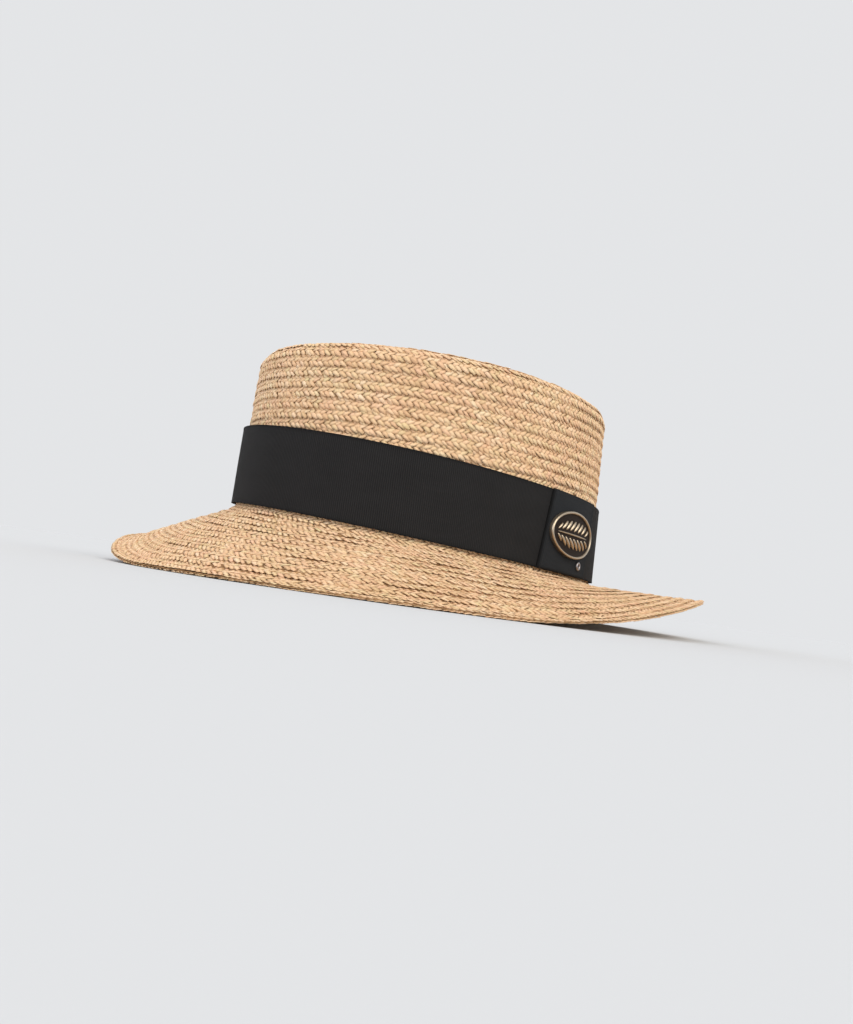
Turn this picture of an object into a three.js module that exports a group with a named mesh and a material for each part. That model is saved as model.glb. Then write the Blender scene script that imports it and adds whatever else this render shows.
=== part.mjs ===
// A flat-topped raffia hat with a ribbon band and an oval badge, resting on its brim.
//
// Millimetres, +Z up. The origin is the middle of the hat's footprint on the plane that it rests on. The
// front of the hat faces -Y and the wearer's left is +X. The pieces are built around the crown's own axis,
// with angles in degrees from +X towards +Y.

import * as THREE from 'three';

// ---- Driving dimensions -------------------------------------------------------------------------

const GAP = 0.3; // clearance between neighbouring pieces
const STRAW = 2.2; // thickness of the sewn braid
const SECTIONS = 72; // facets around the hat

const CROWN = {
  halfWidth: 86, // outer face at the foot, side to side
  halfLength: 101.5, // outer face at the foot, front to back
  roundness: 2.02, // exponent of the plan oval; 2 is a true ellipse
  top: 109.5, // level top above the resting plane
  cornerRadius: 8.5, // rounding between wall and top
  taper: 2, // how far the wall comes in from foot to top
  cornerSteps: 6, // facets of the outer rounding
  innerSteps: 4, // facets of the inner rounding
  wallSteps: 3, // facets up the wall
};

// The line where brim meets crown runs slantwise round the hat, and the ribbon follows it.
const ROOT = {
  height: 26.5, // mean height above the resting plane
  slant: 4.5, // degrees
  lowSide: 25, // direction in which it falls: towards the wearer's left rear
  foot: 2.9, // lower edge of the crown's wall above the root
};

const BRIM = {
  sideWidth: 55, // along the slope from the crown to the edge, at the wearer's left and right
  frontWidth: 61, // the same at the front and the back
  edgeRow: 5, // outermost braid row, which lies level
  nose: 0.7, // rounding of the outer edge
  firstSlope: 0.8, // slope at the crown, as a share of the mean slope
  collar: 1, // straight part of the collar that stands under the crown's wall
  filletReach: 5, // the turn from collar to slope ends this far out
  filletSteps: 4, // facets of that turn
  slopeSteps: 5, // facets down the slope
  rowShares: [0.5, 1], // facets across the edge row
};

// Where the edge of the brim stands clear of the resting plane; between these stretches it lies on it.
const BRIM_LIFTS = [
  { at: 28, reach: 70, lift: 18 }, // wearer's left rear
  { at: 200, reach: 58, lift: 14 }, // wearer's right
];

const RIBBON = { bottom: 2, top: 38.5, thickness: 1.2 }; // heights above the root
const TAB = { from: -17.5, to: 11, overhang: 0.3, thickness: 1, steps: 12 }; // from and to in degrees

const BADGE = {
  at: -3.5, // degrees around the hat
  halfLength: 19.5,
  halfHeight: 10.8,
  rimWidth: 1.4,
  rimHeight: 2.2, // off the back, as is the field's
  fieldHeight: 1.2,
  facets: 40,
  faceShares: [0.1, 0.4, 0.7, 1], // rings across a face, so that it follows the curve of the tab
};

const EYELET = {
  along: 9.5, // behind the badge's middle
  height: 7, // above the root
  radius: 2.1,
  holeRadius: 0.9,
  outerHeight: 0.3, // heights off the back: at the outer edge, the crest, the hole's edge and its floor
  crestHeight: 0.9,
  innerHeight: 0.54,
  floorHeight: 0.225,
  facets: 16,
};

// ---- Shapes -------------------------------------------------------------------------------------

const radians = THREE.MathUtils.degToRad;

/** Evenly spaced numbers from `first` to `last`, both included. */
function spread(first, last, steps) {
  return Array.from({ length: steps + 1 }, (_, i) => first + ((last - first) * i) / steps);
}

/** Angles of the sections around the hat, in radians. */
function sectionAngles() {
  return spread(0, 2 * Math.PI, SECTIONS).slice(0, SECTIONS);
}

/** Skins a run of loops with equal numbers of points into one closed solid, its faces pointing out.
 *  A ring joins its last loop to its first; any other run is closed by a fan over each end loop. */
function skin(loops, isRing) {
  const count = loops[0].length;
  const points = loops.flat();
  const triangles = [];
  const lastJoin = isRing ? loops.length : loops.length - 1;
  for (let i = 0; i < lastJoin; i += 1) {
    const here = i * count;
    const next = ((i + 1) % loops.length) * count;
    for (let j = 0; j < count; j += 1) {
      const k = (j + 1) % count;
      triangles.push([here + j, next + j, next + k], [here + j, next + k, here + k]);
    }
  }
  if (!isRing) {
    for (const [loop, start, turn] of [[loops[0], 0, 1], [loops.at(-1), points.length - count, -1]]) {
      const middle = points.length;
      points.push(loop.reduce((sum, p) => sum.add(p), new THREE.Vector3()).divideScalar(count));
      for (let j = 0; j < count; j += 1) {
        const edge = [start + j, start + ((j + 1) % count)];
        triangles.push(turn > 0 ? [middle, ...edge] : [middle, ...edge.reverse()]);
      }
    }
  }
  const volume = triangles.reduce(
    (sum, [a, b, c]) => sum + points[a].dot(new THREE.Vector3().crossVectors(points[b], points[c])),
    0,
  );
  const outward = volume > 0 ? triangles : triangles.map(([a, b, c]) => [a, c, b]);
  const geometry = new THREE.BufferGeometry().setFromPoints(points);
  geometry.setIndex(outward.flat());
  geometry.computeVertexNormals();
  return geometry;
}

/** Point of the plan oval, `out` beyond the crown's foot, at an angle. */
function oval(angle, out) {
  const n = CROWN.roundness;
  const across = Math.abs(Math.cos(angle) / (CROWN.halfWidth + out)) ** n;
  const along = Math.abs(Math.sin(angle) / (CROWN.halfLength + out)) ** n;
  const radius = (across + along) ** (-1 / n);
  return new THREE.Vector2(radius * Math.cos(angle), radius * Math.sin(angle));
}

/** Height of the slanting root line above the resting plane at an angle. */
function rootAt(angle) {
  const radius = oval(angle, 0).length();
  return ROOT.height - Math.tan(radians(ROOT.slant)) * radius * Math.cos(angle - radians(ROOT.lowSide));
}

/** Point on the crown's wall or what wraps it: `out` beyond the wall, at a height `z` above the resting
 *  plane. The wall comes in evenly from the root to the top. */
function onWall(angle, out, z) {
  const root = rootAt(angle);
  const rise = Math.max(z - root, 0) / (CROWN.top - root);
  const plan = oval(angle, out - CROWN.taper * rise);
  return new THREE.Vector3(plan.x, plan.y, z);
}

/** The same, with its height measured up from the root line. */
function aboveRoot(angle, out, height) {
  return onWall(angle, out, rootAt(angle) + height);
}

/** Point over the ribbon's left side: `along` the ribbon from the badge's middle, `height` above the
 *  root and `out` beyond the crown's wall. */
function onRibbon(along, height, out) {
  return aboveRoot(radians(BADGE.at) + along / (CROWN.halfWidth + out), out, height);
}

/** Crown: outer corner and wall, foot, then inner wall and corner; a level fan closes each face. */
function crownGeometry() {
  const angles = sectionAngles();
  const { top, cornerRadius } = CROWN;
  const shoulder = top - cornerRadius;
  const corner = (radius, turns) => turns.map((turn) => angles.map((angle) => onWall(
    angle,
    radius * Math.sin(turn) - cornerRadius,
    shoulder + radius * Math.cos(turn),
  )));
  const wall = (out, shares) => shares.map((share) => angles.map((angle) => onWall(
    angle,
    out,
    THREE.MathUtils.lerp(rootAt(angle) + ROOT.foot, shoulder, share),
  )));
  return skin([
    ...corner(cornerRadius, spread(0, Math.PI / 2, CROWN.cornerSteps)),
    ...wall(0, spread(1, 0, CROWN.wallSteps).slice(1)),
    ...wall(-STRAW, spread(0, 1, CROWN.wallSteps)),
    ...corner(cornerRadius - STRAW, spread(Math.PI / 2, 0, CROWN.innerSteps).slice(1)),
  ], false);
}

/** Height of the brim's edge above the resting plane at an angle. */
function edgeLift(angle) {
  const fullTurn = 2 * Math.PI;
  return BRIM_LIFTS.reduce((sum, { at, reach, lift }) => {
    const turned = THREE.MathUtils.euclideanModulo(angle - radians(at) + Math.PI, fullTurn);
    const share = Math.min(Math.abs(turned - Math.PI) / radians(reach), 1);
    return sum + lift * Math.cos((share * Math.PI) / 2) ** 2;
  }, 0);
}

/** Middle of the brim's wall at an angle, as (out, z) points: a short collar under the crown, a fillet,
 *  a slope that steepens outwards and the level edge row. The slope keeps its length where it lifts. */
function brimPath(angle) {
  const root = rootAt(angle) - STRAW / 2;
  const edge = edgeLift(angle) + STRAW / 2;
  const width = THREE.MathUtils.lerp(BRIM.sideWidth, BRIM.frontWidth, Math.sin(angle) ** 2);
  const sloped = Math.sqrt((width - BRIM.edgeRow) ** 2 - (root - edge) ** 2);
  const slopeAt = (out) => {
    const share = out / sloped;
    const fall = share * (BRIM.firstSlope + (1 - BRIM.firstSlope) * share);
    return new THREE.Vector2(out, root - (root - edge) * fall);
  };
  const collarTop = new THREE.Vector2(-STRAW / 2, rootAt(angle) + ROOT.foot - GAP);
  const collarEnd = new THREE.Vector2(-STRAW / 2, collarTop.y - BRIM.collar);
  const turn = new THREE.Vector2(-STRAW / 2, root);
  const fillet = new THREE.QuadraticBezierCurve(collarEnd, turn, slopeAt(BRIM.filletReach));
  return [
    collarTop,
    ...fillet.getPoints(BRIM.filletSteps),
    ...spread(BRIM.filletReach, sloped, BRIM.slopeSteps).slice(1).map(slopeAt),
    ...BRIM.rowShares.map((share) => new THREE.Vector2(sloped + share * BRIM.edgeRow, edge)),
  ];
}

/** Section of a wall of straw around a path: its upper side out, a blunt nose, its lower side back. */
function strawSection(path) {
  const tangents = path.map((_, i) => {
    const before = path[Math.max(i - 1, 0)];
    const after = path[Math.min(i + 1, path.length - 1)];
    return after.clone().sub(before).normalize();
  });
  const side = (offset) => path.map(
    (p, i) => new THREE.Vector2(p.x - offset * tangents[i].y, p.y + offset * tangents[i].x),
  );
  const nose = path.at(-1).clone().addScaledVector(tangents.at(-1), BRIM.nose);
  return [...side(STRAW / 2), nose, ...side(-STRAW / 2).reverse()];
}

/** Brim: the section of straw at each angle, joined into a ring. */
function brimGeometry() {
  return skin(
    sectionAngles().map((angle) => strawSection(brimPath(angle)).map(({ x: out, y: z }) => {
      const plan = oval(angle, out);
      return new THREE.Vector3(plan.x, plan.y, z);
    })),
    true,
  );
}

/** Strip of ribbon with a rectangular section, along a run of angles, on the slant of the root line. */
function ribbonGeometry(angles, isRing, { back, face, bottom, top }) {
  const section = [[back, bottom], [face, bottom], [face, top], [back, top]];
  return skin(angles.map((angle) => section.map(([out, height]) => aboveRoot(angle, out, height))), isRing);
}

const BAND_FACE = GAP + RIBBON.thickness; // beyond the crown's wall, as are the next two
const TAB_BACK = BAND_FACE + GAP;
const TAB_FACE = TAB_BACK + TAB.thickness;

/** Rounded plate that follows the tab, as ovals one inside or behind the other. Each ring is drawn in
 *  from the outline by `inset`, shrunk to a `share` of that and stands `lift` off the plate's back. */
function plateOnTab({ along, height, halfLength, halfHeight, facets, rings }) {
  const turns = spread(0, 2 * Math.PI, facets).slice(0, facets);
  return skin(
    rings.map(({ inset, lift, share = 1 }) => turns.map((turn) => onRibbon(
      along + share * (halfLength - inset) * Math.cos(turn),
      height + share * (halfHeight - inset) * Math.sin(turn),
      TAB_FACE + GAP + lift,
    ))),
    false,
  );
}

/** Badge: level back, outer edge, raised rim with narrowed crest, then the recessed field. */
function badgeGeometry() {
  const { halfLength, halfHeight, rimWidth, rimHeight, fieldHeight, faceShares } = BADGE;
  const face = (inset, lift) => faceShares.map((share) => ({ inset, lift, share }));
  return plateOnTab({
    along: 0,
    height: (RIBBON.bottom + RIBBON.top) / 2,
    halfLength,
    halfHeight,
    facets: BADGE.facets,
    rings: [
      ...face(0, 0),
      { inset: 0, lift: (rimHeight + fieldHeight) / 2 },
      { inset: rimWidth / 4, lift: rimHeight },
      { inset: (rimWidth * 3) / 4, lift: rimHeight },
      ...face(rimWidth, fieldHeight).reverse(),
    ],
  });
}

/** Eyelet: a rounded ring with a shallow hole. */
function eyeletGeometry() {
  const { along, height, radius, holeRadius } = EYELET;
  const holeInset = radius - holeRadius;
  return plateOnTab({
    along,
    height,
    halfLength: radius,
    halfHeight: radius,
    facets: EYELET.facets,
    rings: [
      { inset: 0, lift: 0 },
      { inset: 0, lift: EYELET.outerHeight },
      { inset: holeInset / 2, lift: EYELET.crestHeight },
      { inset: holeInset, lift: EYELET.innerHeight },
      { inset: holeInset, lift: EYELET.floorHeight },
    ],
  });
}

// ---- Assembly -----------------------------------------------------------------------------------

const FINISHES = {
  raffia: { color: 0xd9b27c, roughness: 0.75, metalness: 0 },
  raffiaBrim: { color: 0xcfa873, roughness: 0.75, metalness: 0 },
  ribbon: { color: 0x242527, roughness: 0.8, metalness: 0 },
  ribbonTab: { color: 0x2b2e33, roughness: 0.8, metalness: 0 },
  badgeMetal: { color: 0x9a8260, roughness: 0.3, metalness: 1 },
  eyeletMetal: { color: 0xa79a8c, roughness: 0.3, metalness: 1 },
};

const PIECES = [
  { name: 'crown', geometry: crownGeometry(), finish: FINISHES.raffia },
  { name: 'brim', geometry: brimGeometry(), finish: FINISHES.raffiaBrim },
  {
    name: 'ribbon_band',
    geometry: ribbonGeometry(sectionAngles(), true, {
      back: GAP, face: BAND_FACE, bottom: RIBBON.bottom, top: RIBBON.top,
    }),
    finish: FINISHES.ribbon,
  },
  {
    name: 'ribbon_tab',
    geometry: ribbonGeometry(spread(radians(TAB.from), radians(TAB.to), TAB.steps), false, {
      back: TAB_BACK, face: TAB_FACE, bottom: RIBBON.bottom - TAB.overhang, top: RIBBON.top + TAB.overhang,
    }),
    finish: FINISHES.ribbonTab,
  },
  { name: 'badge', geometry: badgeGeometry(), finish: FINISHES.badgeMetal },
  { name: 'eyelet', geometry: eyeletGeometry(), finish: FINISHES.eyeletMetal },
];

const hat = new THREE.Group();
for (const { name, geometry, finish } of PIECES) {
  const mesh = new THREE.Mesh(geometry, new THREE.MeshStandardMaterial(finish));
  mesh.name = name;
  hat.add(mesh);
}

// The wavy brim reaches further out on one side, so the middle of its footprint is brought to the origin.
const footprint = new THREE.Box3().setFromObject(hat).getCenter(new THREE.Vector3());
hat.position.set(-footprint.x, -footprint.y, 0);

export default hat;
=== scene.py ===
"""A flat-topped raffia hat of sewn braid, with a grosgrain band, a tab, an oval badge and an eyelet.

The hat is worked out in millimetres around the crown's own axis, with +Z up, the front facing -Y and
angles in radians from +X towards +Y. Places come from the frame, and each mesh is moved to the frame's
metres as it is written.
"""

import logging
import math
from collections.abc import Callable, Mapping, Sequence
from dataclasses import dataclass
from enum import Enum

import bpy
import numpy as np
from mathutils import Matrix, Vector


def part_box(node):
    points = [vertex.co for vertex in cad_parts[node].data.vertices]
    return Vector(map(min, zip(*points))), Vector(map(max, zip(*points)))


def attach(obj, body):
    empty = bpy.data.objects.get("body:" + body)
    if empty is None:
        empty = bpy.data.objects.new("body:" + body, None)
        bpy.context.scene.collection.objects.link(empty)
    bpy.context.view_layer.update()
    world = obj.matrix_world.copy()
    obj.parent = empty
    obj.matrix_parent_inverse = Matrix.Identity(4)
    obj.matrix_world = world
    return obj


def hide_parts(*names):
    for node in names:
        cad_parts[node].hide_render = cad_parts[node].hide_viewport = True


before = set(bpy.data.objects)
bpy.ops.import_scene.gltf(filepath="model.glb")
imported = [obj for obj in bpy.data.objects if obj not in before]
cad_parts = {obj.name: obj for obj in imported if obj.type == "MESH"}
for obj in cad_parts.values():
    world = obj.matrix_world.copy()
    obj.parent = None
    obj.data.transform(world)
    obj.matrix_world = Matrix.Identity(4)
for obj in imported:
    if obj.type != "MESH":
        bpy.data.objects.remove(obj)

Array = np.ndarray
Triple = tuple[float, float, float]
Colour = Triple
Material = bpy.types.Material
Socket = bpy.types.NodeSocket

MM = 0.001
FULL_TURN = 2 * math.pi
GAP = 0.3  # clearance between the crown's foot and the collar that stands under it
# a cloth's edges are darker partly as a selvedge is and partly as painted shade
SELVEDGES = 12  # how many of a cloth's darker edges would fill half its width
DULL = 0.2  # how gilt the back of a piece of metal is

log = logging.getLogger("hat")


def circle(count: int) -> Array:
    """Evenly spaced angles once around, from 0."""
    return np.linspace(0, FULL_TURN, count, endpoint=False)


def eased(count: int) -> Array:
    """Shares from 0 to 1, closest together at both ends: half of one less the cosine of half a turn."""
    return 0.5 - 0.5 * np.cos(np.linspace(0, math.pi, count))


def past(turn: Array, at: float) -> Array:
    """How far each angle lies past another, from minus half a turn to half a turn."""
    return (turn - at + math.pi) % FULL_TURN - math.pi


def hump(turn: Array, at: float, reach: float) -> Array:
    """1 at an angle and 0 from its reach on: the squared cosine of the share of the reach, over a
    quarter turn."""
    return np.cos(np.minimum(np.abs(past(turn, at)) / reach, 1) * math.pi / 2) ** 2


def in_scene(name: str, data: bpy.types.ID) -> bpy.types.Object:
    """A new object of the scene, at the origin."""
    made = bpy.data.objects.new(name, data)
    bpy.context.scene.collection.objects.link(made)
    return made


# ---- Form ----


@dataclass(frozen=True)
class HatForm:
    """The outline that every piece is laid on."""

    axis: tuple[float, float]  # where the crown's own axis stands in the frame
    top: float  # level top of the crown above the resting plane
    root_height: float  # mean height of the line where brim meets crown
    half_width: float = 86.0  # crown's outer face at the foot, side to side
    half_length: float = 101.5  # the same, front to back
    roundness: float = 2.02  # exponent of the plan oval; 2 is a true ellipse
    corner_radius: float = 8.5
    taper: float = 2.0  # how far the wall comes in from foot to top
    straw: float = 2.2  # thickness of the sewn braid
    root_slant: float = math.radians(4.5)
    low_side: float = math.radians(25)  # direction in which the root line falls
    foot: float = 2.9  # lower edge of the crown's wall above the root line
    ribbon_bottom: float = 2.0  # above the root line, as is the next
    ribbon_top: float = 38.5
    side_width: float = 55.0  # brim, along its slope, at the wearer's left and right
    front_width: float = 61.0  # the same at the front and the back
    edge_row: float = 5.0  # outermost braid row, which lies level
    first_slope: float = 0.8  # brim's slope at the crown, as a share of its mean slope
    collar: float = 1.0  # straight part of the collar that stands under the crown's wall
    fillet_reach: float = 5.0  # the turn from collar to slope ends this far out
    lifts: tuple[Triple, ...] = ((28, 70, 18), (200, 58, 14))
    # stretches where the brim's edge stands clear: degrees round, degrees of reach, and height

    @classmethod
    def from_frame(cls) -> "HatForm":
        """Reads the crown's axis and top, and the root line's mean height, off the frame's boxes.

        Returns:
            The form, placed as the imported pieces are.
        """
        low, high = (Vector(corner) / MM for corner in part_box("crown"))
        band_low, band_high = (Vector(corner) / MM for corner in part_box("ribbon_band"))
        return cls(
            axis=((low.x + high.x) / 2, (low.y + high.y) / 2),
            top=high.z,
            root_height=(band_low.z + band_high.z - cls.ribbon_bottom - cls.ribbon_top) / 2,
        )

    def placed(self, points: Array) -> Array:
        """Moves points in millimetres around the crown's axis to the frame's metres."""
        return (points + np.array([*self.axis, 0.0])) * MM

    def oval(self, angle: Array, out: Array) -> tuple[Array, Array]:
        """Plan oval `out` beyond the crown's foot: a radius whose shares of the two half axes, each to
        the power of the roundness, add up to one.

        Args:
            angle: Directions from the axis.
            out: Distances beyond the foot's outer face.

        Returns:
            The x and y of each point.
        """
        across = np.abs(np.cos(angle) / (self.half_width + out)) ** self.roundness
        along = np.abs(np.sin(angle) / (self.half_length + out)) ** self.roundness
        radius = (across + along) ** (-1 / self.roundness)
        return radius * np.cos(angle), radius * np.sin(angle)

    def root(self, angle: Array) -> Array:
        """Height of the slanting root line: its mean less the slant's tangent times how far the point
        of the oval lies towards the low side."""
        x, y = self.oval(angle, np.zeros_like(angle))
        reach = np.hypot(x, y) * np.cos(angle - self.low_side)
        return self.root_height - math.tan(self.root_slant) * reach

    def drawn_in(self, angle: Array, z: Array) -> Array:
        """How far the wall has come in at a height: the taper times the share of the way up it."""
        root = self.root(angle)
        return self.taper * np.clip(z - root, 0, None) / (self.top - root)

    def above_root(self, angle: Array, height: Array, out: Array) -> Array:
        """Points `height` above the root line and `out` beyond the crown's wall.

        Args:
            angle: Directions from the axis.
            height: Heights above the root line.
            out: Distances beyond the wall.

        Returns:
            Points, with x, y and z last.
        """
        angle, height, out = np.broadcast_arrays(angle, height, out)
        z = self.root(angle) + height
        x, y = self.oval(angle, out - self.drawn_in(angle, z))
        return np.stack([x, y, z], axis=-1)

    def edge_lift(self, angle: Array) -> Array:
        """Height of the brim's edge: the sum of the lifts' humps, each times its height."""
        return sum(tall * hump(angle, *map(math.radians, place)) for *place, tall in self.lifts)


class Side(Enum):
    """Which side of a wall of straw is meant: the one seen from outside and above, or its back."""

    FACE = 1
    BACK = -1


class StrawWall:
    """One side of a wall of sewn braid: a chart from (turn, row) to points and outward normals.

    Rows count outwards from the wall's start, in widths of braid. Between the chart's stations points
    and normals are blended evenly."""

    TURNS = 720
    ROW_STEPS = 8  # stations to a row
    RIM_BENDS = (0.6, 1.2, 1.57)  # how far the normal has turned at the stations past an outer edge
    TINY = 1e-9
    LAST_SPAN = 1.001  # how far from its end, in stations, a chart is still blended

    def __init__(self, points: Array, pitch: Array, side: Side, has_rim: bool, early: int = 0) -> None:
        """Works the normals out as the cross product of the steps outwards and around.

        Args:
            points: Middle of the wall, by turn, then by station; the last turn repeats the first.
            pitch: Width of a row at each turn.
            side: Which side the normals point to.
            has_rim: Whether strands may bend round the outer edge.
            early: Stations before row 0, on level ground, where strands may cross the middle.
        """
        outwards = np.gradient(points, axis=1)
        ring = points[:-1]
        around = np.roll(ring, -1, axis=0) - np.roll(ring, 1, axis=0)
        around = np.concatenate([around, around[:1]])
        normals = side.value * np.cross(outwards, around)
        size = np.linalg.norm(normals, axis=-1, keepdims=True)
        up = np.array([0.0, 0.0, side.value])
        normals = np.where(size > self.TINY, normals / np.maximum(size, self.TINY), up)
        normals[:, :early] = up
        if has_rim:
            edge = outwards[:, -1] / np.linalg.norm(outwards[:, -1], axis=-1, keepdims=True)
            bends = [math.cos(b) * normals[:, -1] + math.sin(b) * edge for b in self.RIM_BENDS]
            normals = np.concatenate([normals, np.stack(bends, axis=1)], axis=1)
            points = np.concatenate([points, np.repeat(points[:, -1:], len(bends), axis=1)], axis=1)
        self.points = points
        self.normals = normals
        self.pitch = pitch
        self.side = side
        self.early = early

    @classmethod
    def turns(cls, finer: int = 1) -> Array:
        """The chart's turns, or a finer set, from 0 to a full turn with both ends."""
        return np.linspace(0, FULL_TURN, finer * cls.TURNS + 1)

    def pitch_at(self, turn: Array) -> Array:
        """Width of a row at each turn."""
        return np.interp(turn % FULL_TURN, self.turns(), self.pitch)

    def at(self, turn: Array, row: Array, height: Array | float = 0.0) -> Array:
        """Points `height` off the middle of the wall: the four nearest stations, blended by nearness,
        plus the height times the blended normal.

        Args:
            turn: Ways around the hat, which may run past a full turn.
            row: Rows from the wall's start, held within the chart.
            height: Distances off the middle of the wall, on this side.

        Returns:
            Points, with x, y and z last.
        """
        i_place = (turn % FULL_TURN) / FULL_TURN * self.TURNS
        j_place = np.clip(row * self.ROW_STEPS + self.early, 0, self.points.shape[1] - self.LAST_SPAN)
        i, j = i_place.astype(int) % self.TURNS, j_place.astype(int)
        fi, fj = (i_place - np.floor(i_place))[..., None], (j_place - j)[..., None]

        def blended(grid: Array) -> Array:
            """Blend of a grid's four nearest stations."""
            here = grid[i, j] * (1 - fj) + grid[i, j + 1] * fj
            beside = grid[i + 1, j] * (1 - fj) + grid[i + 1, j + 1] * fj
            return here * (1 - fi) + beside * fi

        normal = blended(self.normals)
        normal = normal / np.linalg.norm(normal, axis=-1, keepdims=True)
        return blended(self.points) + np.asarray(height)[..., None] * normal


@dataclass(frozen=True)
class CrownShape:
    """Crown: a level tip, a rounded corner and a wall, sewn as one spiral of braid."""

    form: HatForm
    pitch: float = 4.7
    rows: int = 36
    early: int = 4  # stations that the chart starts before the middle, where strands cross it

    @property
    def tip_reach(self) -> float:
        """From the middle of the tip to the start of the corner."""
        return self.form.half_width - self.form.corner_radius - self.form.taper

    @property
    def bend_radius(self) -> float:
        """Radius of the corner at the middle of the straw."""
        return self.form.corner_radius - self.form.straw / 2

    @property
    def wall_start(self) -> float:
        """Way along the braid's rows from the middle of the tip to the end of the corner."""
        return self.tip_reach + self.bend_radius * math.pi / 2

    def plan(self, turn: Array, out: Array | float = 0.0) -> tuple[Array, Array]:
        """Plan oval by turns: the half axes, each longer by `out`, times the turn's cosine and sine
        raised to two over the roundness, with their signs kept.

        Args:
            turn: Ways round the oval.
            out: Distances that are added to both half axes.

        Returns:
            The x and y of each point.
        """
        power = 2 / self.form.roundness
        x, y = (np.sign(part) * np.abs(part) ** power for part in (np.cos(turn), np.sin(turn)))
        return (self.form.half_width + out) * x, (self.form.half_length + out) * y

    def direction(self, turn: Array) -> Array:
        """Angle from the axis at a turn: that of the foot's oval there."""
        x, y = self.plan(turn)
        return np.arctan2(y, x)

    def wall(self, side: Side) -> StrawWall:
        """The way out runs level over the tip, around the corner and down the wall. At each turn the
        oval's two half axes are both changed by it, so that rows run side by side to the middle.

        Args:
            side: Which side the chart is for.

        Returns:
            The chart of the crown.
        """
        form = self.form
        turn = StrawWall.turns()[:, None]
        station = np.arange(-self.early, self.rows * StrawWall.ROW_STEPS + 1)[None, :]
        way = station * self.pitch / StrawWall.ROW_STEPS
        past_tip = way - self.tip_reach
        bend = np.clip(past_tip / self.bend_radius, 0, math.pi / 2)
        down = np.clip(way - self.wall_start, 0, None)
        out = np.minimum(past_tip, 0) - form.corner_radius + self.bend_radius * np.sin(bend)
        z = form.top - form.corner_radius + self.bend_radius * np.cos(bend) - down
        out = out - form.drawn_in(self.direction(turn), z)
        points = np.stack(np.broadcast_arrays(*self.plan(turn, out), z), axis=-1)
        pitch = np.full(StrawWall.TURNS + 1, self.pitch)
        return StrawWall(points, pitch, side, has_rim=False, early=self.early)

    def foot_row(self, turn: Array) -> Array:
        """Row at which the wall ends, on the slant of the root line."""
        foot = self.form.root(self.direction(turn)) + self.form.foot
        return (self.wall_start + self.form.top - self.form.corner_radius - foot) / self.pitch


@dataclass(frozen=True)
class BrimShape:
    """Brim: a collar, a turn, a slope that steepens outwards and a level edge row, in closed rings."""

    form: HatForm
    rows: int = 12
    smoothing: int = 12  # passes that round the turn into the level edge row
    stations: tuple[int, int, int] = (9, 39, 5)  # on the turn, the slope and the edge row

    def section(self, angle: Array) -> tuple[Array, Array]:
        """Middle of the brim's wall at each angle, as a column of angles by stations. The turn is a
        curve drawn from the collar's end to the slope by the corner between them, and the slope falls
        by its share of the way out times the first slope plus the rest of it times that share.

        Args:
            angle: A column of angles.

        Returns:
            The stations' distances beyond the crown's foot, and their heights.
        """
        form = self.form
        middle = form.straw / 2
        root = form.root(angle) - middle
        edge = form.edge_lift(angle) + middle
        width = form.side_width + (form.front_width - form.side_width) * np.sin(angle) ** 2
        sloped = np.sqrt((width - form.edge_row) ** 2 - (root - edge) ** 2)

        def slope_at(out: Array | float) -> Array:
            """Height of the slope at a distance out."""
            share = out / sloped
            return root - (root - edge) * share * (form.first_slope + (1 - form.first_slope) * share)

        reach = form.fillet_reach
        on_turn, on_slope, on_edge = self.stations
        collar_end = form.root(angle) + form.foot - GAP - form.collar
        t = np.linspace(0, 1, on_turn)[None, :]
        turn_out = (1 - t**2) * -middle + t**2 * reach
        turn_z = (1 - t) ** 2 * collar_end + 2 * t * (1 - t) * root + t**2 * slope_at(reach)
        slope_out = reach + (sloped - reach) * np.linspace(0, 1, on_slope + 1)[None, 1:]
        edge_out = sloped + form.edge_row * np.linspace(0, 1, on_edge + 1)[None, 1:]
        collar_out = np.full_like(angle, -middle)
        out = np.concatenate([collar_out, turn_out + 0 * angle, slope_out, edge_out], axis=1)
        level = edge + 0 * edge_out
        z = np.concatenate([collar_end + form.collar, turn_z, slope_at(slope_out), level], axis=1)
        return out, z

    def wall(self, side: Side) -> StrawWall:
        """The section at each turn, with its stations spaced evenly along it, carried round the oval.

        Args:
            side: Which side the chart is for.

        Returns:
            The chart of the brim.
        """
        turn = StrawWall.turns()[:, None]
        out, z = self.section(turn)
        way = np.cumsum(np.hypot(np.diff(out, axis=1), np.diff(z, axis=1)), axis=1)
        way = np.concatenate([np.zeros_like(turn), way], axis=1)
        shares = np.linspace(0, 1, self.rows * StrawWall.ROW_STEPS + 1)
        goal = way[:, -1:] * shares
        before = np.minimum((way[:, :, None] <= goal[:, None, :]).sum(axis=1), way.shape[1] - 1) - 1
        start, end = (np.take_along_axis(way, before + step, 1) for step in (0, 1))
        part = (goal - start) / (end - start)
        out, z = (
            np.take_along_axis(line, before, 1) * (1 - part) + np.take_along_axis(line, before + 1, 1) * part
            for line in (out, z)
        )
        for _ in range(self.smoothing):
            z[:, 1:-1] = (z[:, :-2] + 2 * z[:, 1:-1] + z[:, 2:]) / 4
        x, y = self.form.oval(turn, out)
        return StrawWall(np.stack([x, y, z], axis=-1), way[:, -1] / self.rows, side, has_rim=True)


# ---- Meshes ----


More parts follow.
